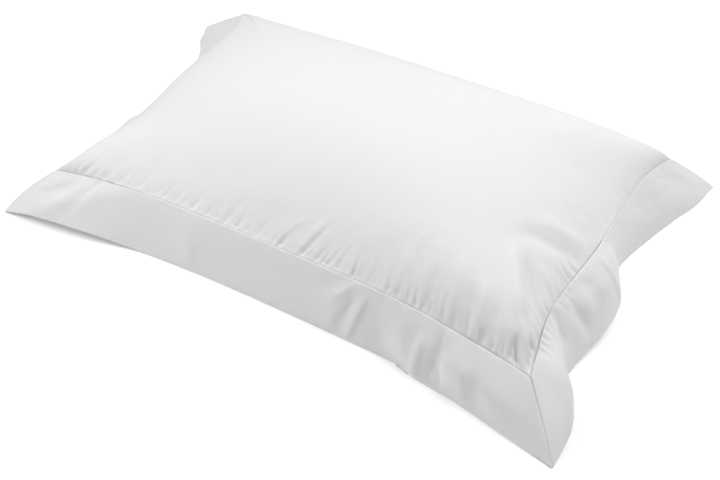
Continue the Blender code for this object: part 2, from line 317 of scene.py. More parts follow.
# The studio. Columns of the softboxes: name, place, width and height, property with the power.
SOFTBOXES = (
    ("key_softbox", (0.9, 0.7, 1.9), (2.0, 1.6), "key_power"),
    ("side_softbox", (-1.0, -0.7, 1.0), (1.0, 0.8), "side_power"),
    ("fill_softbox", (-1.1, -1.0, 1.9), (1.4, 1.2), "fill_power"),
    ("back_softbox", (0.2, 1.8, 1.2), (1.8, 1.2), "back_power"),
)
SOFTBOX_AIM = (0.05, 0.0, 0.05)
CAMERA_PLACE = (0.57316, -0.92325, 0.9181)
CAMERA_AIM = (0.08056, -0.10345, 0.0387)
SENSOR_WIDTH = 36.0
FLOOR_SIZE = 30.0
FLOOR_HEIGHT = -0.0002
WHITE = (1.0, 1.0, 1.0, 1.0)


def bell(offset, half_width):
    """A smooth bump of height 1, down to nothing at about two half widths."""
    return np.exp(-((offset / half_width) ** 2))


def ease(share):
    """A share from 0 to 1 with soft ends."""
    share = np.clip(share, 0.0, 1.0)
    return share * share * (3.0 - 2.0 * share)


def unit(runs):
    """Vectors of length 1 with the same directions."""
    return runs / np.maximum(np.linalg.norm(runs, axis=-1, keepdims=True), 1e-9)


def flat_vector(side):
    """The outward direction of a side, level."""
    return np.array((*SIDES[side][2], 0.0))


def along_vector(side):
    """The direction along a side, level, towards its second corner."""
    return np.abs(flat_vector(side)[[1, 0, 2]])


def seam_corner(corner):
    return np.array(CORNERS[corner][0:3])


def mitre_run(corner):
    """The way along a mitre, from the seam's corner to the border's tip."""
    return np.array(CORNERS[corner][3:6]) - seam_corner(corner)


def mitre_upright(corner):
    """The direction that stands up from the mitre at a corner."""
    run = unit(mitre_run(corner))
    return np.cross(unit(np.cross(run, UP)), run)


def seam_line(side, place):
    """The seam line of one side, for places from -1 at its first corner to 1 at its second."""
    first, second, _, draw_in, lift, squareness = SIDES[side]
    share = ((place + 1.0) / 2.0)[..., None]
    line = seam_corner(first) * (1.0 - share) + seam_corner(second) * share
    full = (1.0 - np.abs(place) ** squareness)[..., None]
    line = line - flat_vector(side) * draw_in * full + UP * lift * full
    for centre, half_width, out, up in SEAM_WAVES[side]:
        wave = (bell(place - centre, half_width) * (1.0 - place**8))[..., None]
        line = line + (flat_vector(side) * out + UP * up) * wave
    return line


def smooth_table(rows, place, column):
    """Values between the rows of a table, by a smooth curve through all of them."""
    table = np.array(rows, float)
    at, value = table[:, 0], table[:, column]
    slope = np.empty(len(at))
    slope[1:-1] = (value[2:] - value[:-2]) / (at[2:] - at[:-2])
    slope[0] = (value[1] - value[0]) / (at[1] - at[0])
    slope[-1] = (value[-1] - value[-2]) / (at[-1] - at[-2])
    low = np.clip(np.searchsorted(at, place, side="left") - 1, 0, len(at) - 2)
    span = at[low + 1] - at[low]
    share = np.clip((place - at[low]) / span, 0.0, 1.0)
    square, cube = share**2, share**3
    blended = (2 * cube - 3 * square + 1) * value[low] + (3 * square - 2 * cube) * value[low + 1]
    blended += (cube - 2 * square + share) * slope[low] * span
    return blended + (cube - square) * slope[low + 1] * span


def edge_rows(side):
    """The outer edge's table with the tips of the mitred corners added at its ends."""
    rows = []
    for corner, place in ((SIDES[side][0], -1.0), (SIDES[side][1], 1.0)):
        rows.append((place, mitre_run(corner) @ flat_vector(side), CORNERS[corner][5]))
    return (rows[0],) + EDGES[side] + (rows[1],)


def edge_line(side, place):
    """The underside of the border's outer edge."""
    first, second = SIDES[side][0:2]
    along = along_vector(side)
    grown = np.clip((np.abs(place) - SPREAD_START) / (1.0 - SPREAD_START), 0.0, 1.0) ** SPREAD_POWER
    spread = np.where(place > 0.0, mitre_run(second) @ along, mitre_run(first) @ along) * grown
    rows = edge_rows(side)
    line = seam_line(side, place) + along * spread[..., None]
    line = line + flat_vector(side) * smooth_table(rows, place, 1)[..., None]
    line[..., 2] = np.maximum(smooth_table(rows, place, 2), 0.0)
    return line


def strip_frame(side, place):
    """The direction that stands up from a border, and how far it has turned into its mitre."""
    first, second = SIDES[side][0:2]
    out = flat_vector(side)
    run = edge_line(side, place) - seam_line(side, place)
    upright = unit(-run[..., 2:3] * out + UP * (run @ out)[..., None])
    share = ease((np.abs(place) - 1.0 + MITRE_TURN) / MITRE_TURN)[..., None]
    mitred = np.where((place > 0.0)[..., None], mitre_upright(second), mitre_upright(first))
    return unit(upright * (1.0 - share) + mitred * share), share


def crease_field(across_x, across_y, rows):
    """Heights of a table of creases on flat cloth: each is a soft ridge or valley on a line."""
    field = np.zeros(np.broadcast(across_x, across_y).shape)
    fade_in, fade_out = CREASE_FADES
    for start_x, start_y, end_x, end_y, half_start, half_end, height in rows:
        run_x, run_y = end_x - start_x, end_y - start_y
        length = max(math.hypot(run_x, run_y), 1e-6)
        share = ((across_x - start_x) * run_x + (across_y - start_y) * run_y) / length**2
        aside = ((across_x - start_x) * run_y - (across_y - start_y) * run_x) / length
        half_width = half_start + (half_end - half_start) * np.clip(share, 0.0, 1.0)
        ends = ease((share + CREASE_OVERRUN) / fade_in) * ease((1.0 + CREASE_OVERRUN - share) / fade_out)
        field += height * bell(aside, half_width) * ends
    return field


def pucker_field(along, inward, rows, seed):
    """Heights of a row of gathers: narrow valleys that open and fade away from the seam, in mm."""
    chance = np.random.default_rng(seed)
    field = np.zeros(np.broadcast(along, inward).shape)
    for start, end, spacing, length, depth, lean in rows:
        count = max(int(round((end - start) / spacing)), 1)
        for middle in start + spacing * (np.arange(count) + 0.5):
            at = middle + spacing * chance.uniform(-GATHER_SHIFT, GATHER_SHIFT)
            reach = length * chance.uniform(*GATHER_LENGTHS)
            deep = depth * chance.uniform(*GATHER_DEPTHS)
            slant = lean + chance.uniform(-GATHER_SLANT, GATHER_SLANT)
            share = np.clip(inward / reach, 0.0, 1.0)
            half_width = spacing * (GATHER_HALF_WIDTHS[0] + GATHER_HALF_WIDTHS[1] * share)
            offset = along - at - slant * inward
            fade = (1.0 - share) * (0.5 + 0.5 * ease(inward / GATHER_MOUTH))
            field -= deep * fade * bell(offset, half_width)
    return field


def strip_surface(side, place, width, upper, sizes):
    """Points of a border for columns of place and rows of width, 0 at the seam to 1 outside."""
    first, second = SIDES[side][0:2]
    out = flat_vector(side)
    upright, share = strip_frame(side, place)
    inner = seam_line(side, place) - UP * sizes.border_thickness
    edge = edge_line(side, place)
    inner, edge, upright, share = inner[:, None], edge[:, None], upright[:, None], share[:, None]
    width = width[None, :, None]
    points = inner * (1.0 - width) + edge * width
    mitre_bow = np.where(place > 0.0, CORNERS[second][6], CORNERS[first][6])[:, None, None]
    bow = BORDER_BOW * (1.0 - share) + mitre_bow * share
    for seam_place, edge_place, half_first, half_second, height in FOLDS[side]:
        offset = place[:, None, None] - (seam_place + (edge_place - seam_place) * width)
        half_width = np.where(offset < 0.0, half_first, half_second)
        bow = bow + height * bell(offset, half_width) * (1.0 - share)
    arch = 4.0 * width * (1.0 - width)
    points = points + upright * arch * bow
    if upper:
        turn = np.clip(width / SEAM_TURN, 0.0, 1.0)
        points = points + unit(UP * (1.0 - turn) + upright * turn) * sizes.border_thickness
    points = points + out * sizes.seam_gap * (1.0 - width)
    along = along_vector(side) * np.sign(place)[:, None, None]
    drawn = ease((np.abs(place) - 1.0 + MITRE_DRAW) / MITRE_DRAW)[:, None, None]
    points = points - along * drawn * (MITRE_GAP[0] * (1.0 - width) + MITRE_GAP[1] * width)
    points[..., 2] = np.maximum(points[..., 2], 0.0)
    return points + CENTRING


def seam_surface(along, across):
    """A smooth sheet spanned between the four sides of the seam."""
    share_x, share_y = ((along + 1.0) / 2.0)[..., None], ((across + 1.0) / 2.0)[..., None]
    points = seam_line("near", along) * (1.0 - share_y) + seam_line("far", along) * share_y
    points += seam_line("left", across) * (1.0 - share_x) + seam_line("right", across) * share_x
    points -= seam_corner("near_left") * (1.0 - share_x) * (1.0 - share_y)
    points -= seam_corner("near_right") * share_x * (1.0 - share_y)
    points -= seam_corner("far_right") * share_x * share_y
    return points - seam_corner("far_left") * (1.0 - share_x) * share_y


def travelled(steps):
    """How far each point lies along a line, for the steps between its points."""
    return np.concatenate(((0.0,), np.cumsum(steps)))


def fullness(place, squareness, steepness):
    """1 at the middle and 0 at both ends: squarer keeps it full longer, steeper falls sooner."""
    return np.maximum(1.0 - np.abs(place) ** squareness, 0.0) ** steepness


def pair_fullness(low_side, high_side, place, along_sides):
    """How full the top is between two opposite sides, by each side's own profile."""
    full = []
    for side in (low_side, high_side):
        squareness, steepness = (smooth_table(PROFILES[side], along_sides, column) for column in (1, 2))
        full.append(fullness(place, squareness, steepness))
    return np.where(place < 0.0, full[0], full[1])


def case_surface(along, across, upper, sizes):
    """Points of the filled case: its crowned top, or its underside pressed flat."""
    points = seam_surface(along, across)
    if upper:
        crown = pair_fullness("left", "right", along, across) * pair_fullness("near", "far", across, along)
        points[..., 2] += sizes.crown_height * crown
    else:
        press = UNDERSIDE_PRESS * fullness(along, *UNDERSIDE_SHAPE) * fullness(across, *UNDERSIDE_SHAPE)
        points[..., 2] = (points[..., 2] - sizes.rim_height) * np.maximum(1.0 - press, 0.0)
    return points + CENTRING


def even_places(even, half_length, height, low_side, high_side):
    """Turns shares of the cloth, -1 to 1 over the curve of the crown, into places seen from above."""
    fine = np.sin(np.linspace(-1.0, 1.0, 4001) * math.pi / 2.0)
    rise = height * pair_fullness(low_side, high_side, fine, np.zeros_like(fine))
    steps = np.hypot(np.diff(fine) * half_length, np.diff(rise))
    reached = travelled(steps)
    return np.interp(even, reached / reached[-1] * 2.0 - 1.0, fine)


def panel_places(even_x, even_y, sizes):
    """Places seen from above, for shares of the panel's cloth."""
    along = even_places(even_x, SEEN_HALF[0], sizes.crown_height, "left", "right")
    across = even_places(even_y, SEEN_HALF[1], sizes.crown_height, "near", "far")
    return along, across


def eased_places(length, step, first_step, growth=1.6):
    """Shares from 0 to 1, evenly spaced by step but closing up to first_step at both ends."""
    ends = [0.0]
    gap = first_step
    while gap < step:
        ends.append(ends[-1] + gap)
        gap *= growth
    middle = max(int(round((length - 2.0 * ends[-1]) / step)), 1)
    inside = np.linspace(ends[-1], length - ends[-1], middle + 1)
    start = np.array(ends[:-1])
    return np.concatenate((start, inside, length - start[::-1])) / length


def graded_shares(steps):
    """Shares from -1 to 1 for a table of stretches: its columns are the end and the spacing, mm."""
    marks = [-steps[-1][0]]
    for end, spacing in steps:
        count = max(int(round((end - marks[-1]) / spacing)), 1)
        marks.extend(np.linspace(marks[-1], end, count + 1)[1:])
    return np.array(marks) / steps[-1][0]


def between_cells(grid, at_x, at_y):
    """Values between the points of a grid, eased from each point to the next."""
    low_x = np.clip(at_x.astype(int), 0, grid.shape[0] - 2)
    low_y = np.clip(at_y.astype(int), 0, grid.shape[1] - 2)
    share_x, share_y = ease(at_x - low_x)[:, None], ease(at_y - low_y)[:, None]
    near = grid[low_x, low_y] * (1.0 - share_x) + grid[low_x + 1, low_y] * share_x
    far = grid[low_x, low_y + 1] * (1.0 - share_x) + grid[low_x + 1, low_y + 1] * share_x
    return near * (1.0 - share_y) + far * share_y


# --- Small helpers for meshes and materials ---


def to_linear(hex_colour):
    """An sRGB hex colour as linear red, green, blue and alpha."""
    parts = [int(hex_colour[start : start + 2], 16) / 255.0 for start in (1, 3, 5)]
    linear = [c / 12.92 if c <= 0.04045 else ((c + 0.055) / 1.055) ** 2.4 for c in parts]
    return (*linear, 1.0)


def dimmed(colour, share):
    """A linear colour at a share of its brightness."""
    return (*[part * share for part in colour[:3]], 1.0)


def set_inputs(node, inputs):
    """Sets a node's inputs: each value is a number, a colour or a socket that it is linked to."""
    for name, value in inputs.items():
        if isinstance(value, bpy.types.NodeSocket):
            node.id_data.links.new(value, node.inputs[name])
        else:
            node.inputs[name].default_value = value


def add_node(material, kind, inputs=None, **settings):
    """Adds a node to a material, with its settings, inputs and links."""
    node = material.node_tree.nodes.new(kind)
    for name, value in settings.items():
        setattr(node, name, value)
    set_inputs(node, inputs or {})
    return node


def new_material(name):
    """A new material, and the shader that it comes with."""
    material = bpy.data.materials.new(name)
    material.use_nodes = True
    return material, material.node_tree.nodes["Principled BSDF"]


def deselect_all():
    """Leaves edit mode, and leaves nothing selected."""
    if bpy.context.object and bpy.context.object.mode != "OBJECT":
        bpy.ops.object.mode_set(mode="OBJECT")
    bpy.ops.object.select_all(action="DESELECT")


def only(piece):
    """Makes one piece the only selected and the active one."""
    deselect_all()
    piece.select_set(True)
    bpy.context.view_layer.objects.active = piece
    return piece


def read_vectors(items, name):
    """One vector of each item of a mesh, as rows of three numbers."""
    values = np.empty(len(items) * 3, np.float32)
    items.foreach_get(name, values)
    return values.reshape(-1, 3)


def coordinates(mesh):
    return read_vectors(mesh.vertices, "co").astype(float)


def set_coordinates(mesh, points):
    mesh.vertices.foreach_set("co", np.ascontiguousarray(points, np.float32).ravel())
    mesh.update()


def set_mode(mode, select=False):
    """Changes to edit or object mode, and in edit mode selects everything."""
    bpy.ops.object.mode_set(mode=mode)
    if select:
        bpy.ops.mesh.select_all(action="SELECT")


def slab(name, columns, rows):
    """A grid drawn up into a closed slab, and each point's column, row and layer, 0 or 1."""
    deselect_all()
    bpy.ops.mesh.primitive_grid_add(x_subdivisions=columns, y_subdivisions=rows, size=2.0, calc_uvs=True)
    piece = bpy.context.object
    piece.name = piece.data.name = name
    set_mode("EDIT", select=True)
    bpy.ops.mesh.extrude_region_move(TRANSFORM_OT_translate={"value": (0.0, 0.0, 1.0)})
    set_mode("OBJECT")
    cells = (coordinates(piece.data) + (1.0, 1.0, 0.0)) * (columns / 2.0, rows / 2.0, 1.0)
    return piece, np.rint(cells).astype(int)


def keep_flat_places(mesh, flat_x, flat_y, layer):
    """Keeps each point's place on the flat cloth, in metres, and its layer, as an attribute."""
    attribute = mesh.attributes.new("flat_place", "FLOAT_VECTOR", "POINT")
    values = np.column_stack((flat_x, flat_y, layer)).astype(np.float32)
    attribute.data.foreach_set("vector", values.ravel())


def flat_places(mesh):
    return read_vectors(mesh.attributes["flat_place"].data, "vector")


def panel_shares(mesh):
    """Each point's place on the flat panel, as shares from -1 to 1 along and across."""
    places = flat_places(mesh)
    return places[:, 0] / PANEL_HALF[0], places[:, 1] / PANEL_HALF[1]


def rim_shares(mesh):
    """How far out each point lies, from 0 at the middle of the panel to 1 at its rim."""
    share_x, share_y = panel_shares(mesh)
    return np.maximum(np.abs(share_x), np.abs(share_y))


def lay_cloth_map(mesh):
    """Turns the flat places into the piece's UV map, in metres of cloth."""
    layer = mesh.uv_layers.active or mesh.uv_layers.new(name="cloth")
    layer.name = "cloth"
    corners = np.empty(len(mesh.loops), np.int32)
    mesh.loops.foreach_get("vertex_index", corners)
    layer.data.foreach_set("uv", flat_places(mesh)[corners, 0:2].ravel())


def close_outward(piece):
    """Recalculates the normals so that they point outwards, and shades the cloth smooth."""
    only(piece)
    set_mode("EDIT", select=True)
    bpy.ops.mesh.normals_make_consistent(inside=False)
    set_mode("OBJECT")
    bpy.ops.object.shade_smooth()


def finish_piece(piece, material):
    """Gives a piece its finish and fixes it to the body it rides on."""
    piece.data.materials.clear()
    piece.data.materials.append(material)
    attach(piece, BODY)


# --- Materials ---


def plain_woven_cotton(name, colour):
    """Bleached cotton percale, plain woven and calendered: a matt white with a faint soft sheen,
    a square weave that shows only close up, uneven threads, and a very light crumple."""
    material, shader = new_material(name)
    cloth = add_node(material, "ShaderNodeUVMap", uv_map="cloth").outputs["UV"]
    split = add_node(material, "ShaderNodeSeparateXYZ", {"Vector": cloth})
    waves = []
    for axis in ("X", "Y"):
        scaled = add_node(material, "ShaderNodeMath",
                          {0: split.outputs[axis], 1: math.pi / THREAD_SPACING}, operation="MULTIPLY")
        wave = add_node(material, "ShaderNodeMath", {0: scaled.outputs[0]}, operation="SINE")
        waves.append(wave.outputs[0])
    weave = add_node(material, "ShaderNodeMath", {0: waves[0], 1: waves[1]}, operation="MULTIPLY")
    slubs = []
    for stretch in (SLUBS_PER_METRE, SLUBS_PER_METRE[::-1]):
        turned = add_node(material, "ShaderNodeMapping", {"Vector": cloth, "Scale": (*stretch, 1.0)})
        uneven = add_node(material, "ShaderNodeTexNoise",
                          {"Vector": turned.outputs["Vector"], "Scale": 1.0, "Detail": 1.0})
        slubs.append(uneven.outputs["Fac"])
    slub = add_node(material, "ShaderNodeMath", {0: slubs[0], 1: slubs[1]}, operation="ADD").outputs[0]
    crumple = add_node(material, "ShaderNodeTexNoise",
                       {"Vector": cloth, "Scale": CRUMPLES_PER_METRE, "Detail": 3.0, "Roughness": 0.45,
                        "Distortion": 0.4})
    evened = add_node(material, "ShaderNodeMath", {0: slub, 1: 0.5}, operation="MULTIPLY")
    tint = add_node(material, "ShaderNodeValToRGB", {"Fac": evened.outputs[0]})
    thin, thick = tint.color_ramp.elements
    thin.position, thick.position = 0.30, 0.70
    thin.color, thick.color = dimmed(to_linear(colour), 0.975), to_linear(colour)
    rough = add_node(material, "ShaderNodeMapRange",
                     {"Value": slub, "From Min": 0.6, "From Max": 1.4, "To Min": 0.90, "To Max": 0.78})
    bumped = {}
    for height, depth in ((crumple.outputs["Fac"], CRUMPLE_DEPTH), (slub, SLUB_DEPTH),
                          (weave.outputs[0], WEAVE_DEPTH)):
        bump = add_node(material, "ShaderNodeBump",
                        {"Height": height, "Strength": 1.0, "Distance": depth, **bumped})
        bumped = {"Normal": bump.outputs["Normal"]}
    set_inputs(shader, {"Base Color": tint.outputs["Color"], "Roughness": rough.outputs["Result"],
                        "Metallic": 0.0, "IOR": 1.47, "Specular IOR Level": 0.25, "Sheen Weight": 0.12,
                        "Sheen Roughness": 0.5, **bumped})
    return material


def twisted_thread(name, colour):
    """Spun polyester sewing thread, two-ply twisted: white, a little glossier than the cloth."""
    material, shader = new_material(name)
    place = add_node(material, "ShaderNodeTexCoord").outputs["Object"]
    fibres = add_node(material, "ShaderNodeTexNoise",
                      {"Vector": place, "Scale": FIBRES_PER_METRE, "Detail": 2.0}).outputs["Fac"]
    tint = add_node(material, "ShaderNodeValToRGB", {"Fac": fibres})
    dark, light = tint.color_ramp.elements
    dark.color, light.color = dimmed(to_linear(colour), 0.9), to_linear(colour)
    bump = add_node(material, "ShaderNodeBump",
                    {"Height": fibres, "Strength": 0.5, "Distance": FIBRE_DEPTH})
    set_inputs(shader, {"Base Color": tint.outputs["Color"], "Normal": bump.outputs["Normal"],
                        "Roughness": 0.55, "Specular IOR Level": 0.4})
    return material


def matt_paper(name, colour, glow):
    """White background paper, uncoated: fully matt, and lit through from below, so it glows."""
    material, shader = new_material(name)
    set_inputs(shader, {"Base Color": to_linear(colour), "Roughness": 1.0, "Specular IOR Level": 0.0,
                        "Emission Color": WHITE, "Emission Strength": glow})
    return material


# --- What a user may change ---


class PillowcaseSizes(PropertyGroup):
    crown_height: FloatProperty(
        name="Crown height", description="Height of the filled top above its seam",
        default=0.0855, min=0.03, max=0.15, unit="LENGTH")
    rim_height: FloatProperty(
        name="Rim height", description="Height of the sewn rim of the case",
        default=0.0026, min=0.001, max=0.006, unit="LENGTH")
    border_thickness: FloatProperty(
        name="Border thickness", description="Thickness of the double cloth of the border",
        default=0.0022, min=0.001, max=0.003, unit="LENGTH")
    edge_radius: FloatProperty(
        name="Edge radius", description="Radius of the folded edges of the border",
        default=0.0013, min=0.0003, max=0.003, unit="LENGTH")
    seam_gap: FloatProperty(
        name="Seam gap", description="Groove between the case and its border",
        default=0.0009, min=0.0001, max=0.002, unit="LENGTH")
    pressure: FloatProperty(
        name="Pressure", description="Pressure of the filling while the cloth settles",
        default=4.0, min=0.0, max=20.0)
    settle_limit: FloatProperty(
        name="Settle limit", description="How far a point of the cloth may move as it settles",
        default=0.004, min=0.001, max=0.03, unit="LENGTH")
    stitch_length: FloatProperty(
        name="Stitch length", description="Length of one stitch of the border seam",
        default=0.0030, min=0.0015, max=0.006, unit="LENGTH")
    thread_width: FloatProperty(
        name="Thread width", description="Diameter of the sewing thread",
        default=0.0004, min=0.0002, max=0.001, unit="LENGTH")


class PillowcaseColours(PropertyGroup):
    cotton: StringProperty(
        name="Cotton", description="sRGB hex colour of the bleached cotton", default="#E4E4E4")
    thread: StringProperty(
        name="Thread", description="sRGB hex colour of the sewing thread", default="#F2F2F0")
    floor: StringProperty(
        name="Floor", description="sRGB hex colour of the studio floor", default="#FAFAFA")


class PillowcaseStage(PropertyGroup):
    lens: FloatProperty(
        name="Lens", description="Focal length of the camera in millimetres",
        default=54.055, min=20.0, max=200.0)
    key_power: FloatProperty(
        name="Key light", description="Power of the large soft light behind and to the right, in watts",
        default=44.4, min=0.0)
    side_power: FloatProperty(
        name="Side light", description="Power of the small low soft light on the left, in watts",
        default=5.7, min=0.0)
    fill_power: FloatProperty(
        name="Fill light", description="Power of the soft light in front and to the left, in watts",
        default=26.1, min=0.0)
    back_power: FloatProperty(
        name="Back light", description="Power of the soft light behind, in watts", default=7.2, min=0.0)
    sky: FloatProperty(
        name="Room light", description="Strength of the even light of the room", default=0.0, min=0.0)
    floor_glow: FloatProperty(
        name="Floor glow", description="Light that the backlit white floor gives off",
        default=0.175, min=0.0)


class PILLOWCASE_OT_case(Operator):
    """Make the filled case: front and back panel, swollen by the pillow inside"""

    bl_idname = "pillowcase.case"
    bl_label = "Filled Case"

    def execute(self, context):
        sizes = context.scene.pillowcase_sizes
        colours = context.scene.pillowcase_colours
        even_x, even_y = graded_shares(CLOTH_COLUMNS), graded_shares(CLOTH_ROWS)
        piece = self.lay_cloth("filled_case", even_x, even_y, sizes)
        self.settle(context, piece, sizes)
        smooth = only(piece).modifiers.new("smooth_cloth", "SUBSURF")
        smooth.levels = smooth.render_levels = 1
        bpy.ops.object.modifier_apply(modifier=smooth.name)
        self.hold_rim(piece, sizes)
        self.press_creases(piece)
        self.thin_underside(piece)
        lay_cloth_map(piece.data)
        finish_piece(piece, plain_woven_cotton("cotton_percale_panel", colours.cotton))
        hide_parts("case_body")
        return {"FINISHED"}

    def lay_cloth(self, name, even_x, even_y, sizes):
        """The closed case as an even mesh: its top and its underside, joined at the rim."""
        piece, cells = slab(name, len(even_x) - 1, len(even_y) - 1)
        share_x, share_y = even_x[cells[:, 0]], even_y[cells[:, 1]]
        along, across = panel_places(share_x, share_y, sizes)
        upper = cells[:, 2] == 1
        top = case_surface(along, across, True, sizes)
        underside = case_surface(along, across, False, sizes)
        set_coordinates(piece.data, np.where(upper[:, None], top, underside))
        keep_flat_places(piece.data, share_x * PANEL_HALF[0], share_y * PANEL_HALF[1], upper)
        close_outward(piece)
        return piece

    def settle(self, context, piece, sizes):
        """Lets a coarser copy of the cloth settle under the pressure of the filling, with its seam
        and underside held, and moves the piece's top as far as that cloth went."""
        columns, rows = SETTLING_CELLS
        even_x, even_y = np.linspace(-1.0, 1.0, columns + 1), np.linspace(-1.0, 1.0, rows + 1)
        cloth = self.lay_cloth("settling_cloth", even_x, even_y, sizes)
        start = coordinates(cloth.data)
        top = flat_places(cloth.data)[:, 2] > 0.5
        free = top & (rim_shares(cloth.data) < AT_RIM)
        held = cloth.vertex_groups.new(name="held")
        held.add(np.flatnonzero(~free).tolist(), 1.0, "REPLACE")
        settings = cloth.modifiers.new("settle", "CLOTH").settings
        for name, value in CLOTH_SETTINGS.items():
            setattr(settings, name, value)
        settings.vertex_group_mass = held.name
        settings.effector_weights.gravity = 0.0
        settings.use_pressure = True
        settings.uniform_pressure_force = sizes.pressure
        for frame_number in range(1, SETTLING_FRAMES + 1):
            context.scene.frame_set(frame_number)
        settled = cloth.evaluated_get(context.evaluated_depsgraph_get())
        moved = coordinates(settled.data) - start
        length = np.linalg.norm(moved, axis=1)
        moved *= np.minimum(1.0, sizes.settle_limit / np.maximum(length, 1e-9))[:, None]
        context.scene.frame_set(1)
        grid = np.zeros((columns + 1, rows + 1, 3))
        share_x, share_y = panel_shares(cloth.data)
        column = np.rint((share_x[top] + 1.0) * columns / 2.0).astype(int)
        row = np.rint((share_y[top] + 1.0) * rows / 2.0).astype(int)
        grid[column, row] = moved[top]
        bpy.data.objects.remove(cloth, do_unlink=True)

        share_x, share_y = panel_shares(piece.data)
        carried = between_cells(grid, (share_x + 1.0) * columns / 2.0, (share_y + 1.0) * rows / 2.0)
        carried *= flat_places(piece.data)[:, 2:3]
        set_coordinates(piece.data, coordinates(piece.data) + carried)

    def hold_rim(self, piece, sizes):
        """Puts the rim back on the seam line, from which the subdivision drew it in."""
        along, across = panel_places(*panel_shares(piece.data), sizes)
        rim = rim_shares(piece.data) > AT_RIM
        points = coordinates(piece.data)
        line = seam_surface(along[rim], across[rim]) + CENTRING
        line[:, 2] -= sizes.rim_height * (1.0 - flat_places(piece.data)[rim, 2])
        points[rim] = line
        set_coordinates(piece.data, points)

    def press_creases(self, piece):
        """Presses the creases and the gathers of the seam into the front panel."""
        places = flat_places(piece.data)
        flat_x, flat_y = places[:, 0] * 1000.0, places[:, 1] * 1000.0
        half_x, half_y = PANEL_HALF[0] * 1000.0, PANEL_HALF[1] * 1000.0
        seams = {"near": (flat_x, flat_y + half_y), "right": (flat_y, half_x - flat_x),
                 "far": (flat_x, half_y - flat_y), "left": (flat_y, flat_x + half_x)}
        heights = crease_field(flat_x, flat_y, PANEL_CREASES)
        for side, (along, inward) in seams.items():
            heights += pucker_field(along, inward, PUCKERS[side], GATHER_SEEDS[side][0])
        edge = np.minimum.reduce([inward for along, inward in seams.values()])
        heights *= ease(edge / CREASE_MARGIN + PANEL_CREASE_LEFT)
        tuck = np.clip(1.0 - edge / SEAM_TUCK[0], 0.0, 1.0)
        heights -= SEAM_TUCK[1] * tuck**2
        normals = read_vectors(piece.data.vertex_normals, "vector").astype(float)
        move = normals * (heights * places[:, 2] / 1000.0)[:, None]
        move[rim_shares(piece.data) > AT_RIM, 0:2] *= RIM_SLIDE
        set_coordinates(piece.data, coordinates(piece.data) + move)

    def thin_underside(self, piece):
        """Collapses part of the underside's faces, which lie flat and out of sight."""
        inside = rim_shares(piece.data) < UNDERSIDE_INSIDE
        lower = flat_places(piece.data)[:, 2] < 0.01
        under = piece.vertex_groups.new(name="underside")
        under.add(np.flatnonzero(lower & inside).tolist(), 1.0, "REPLACE")
        thin = only(piece).modifiers.new("thin_underside", "DECIMATE")
        thin.vertex_group = under.name
        thin.ratio = UNDERSIDE_KEPT
        bpy.ops.object.modifier_apply(modifier=thin.name)


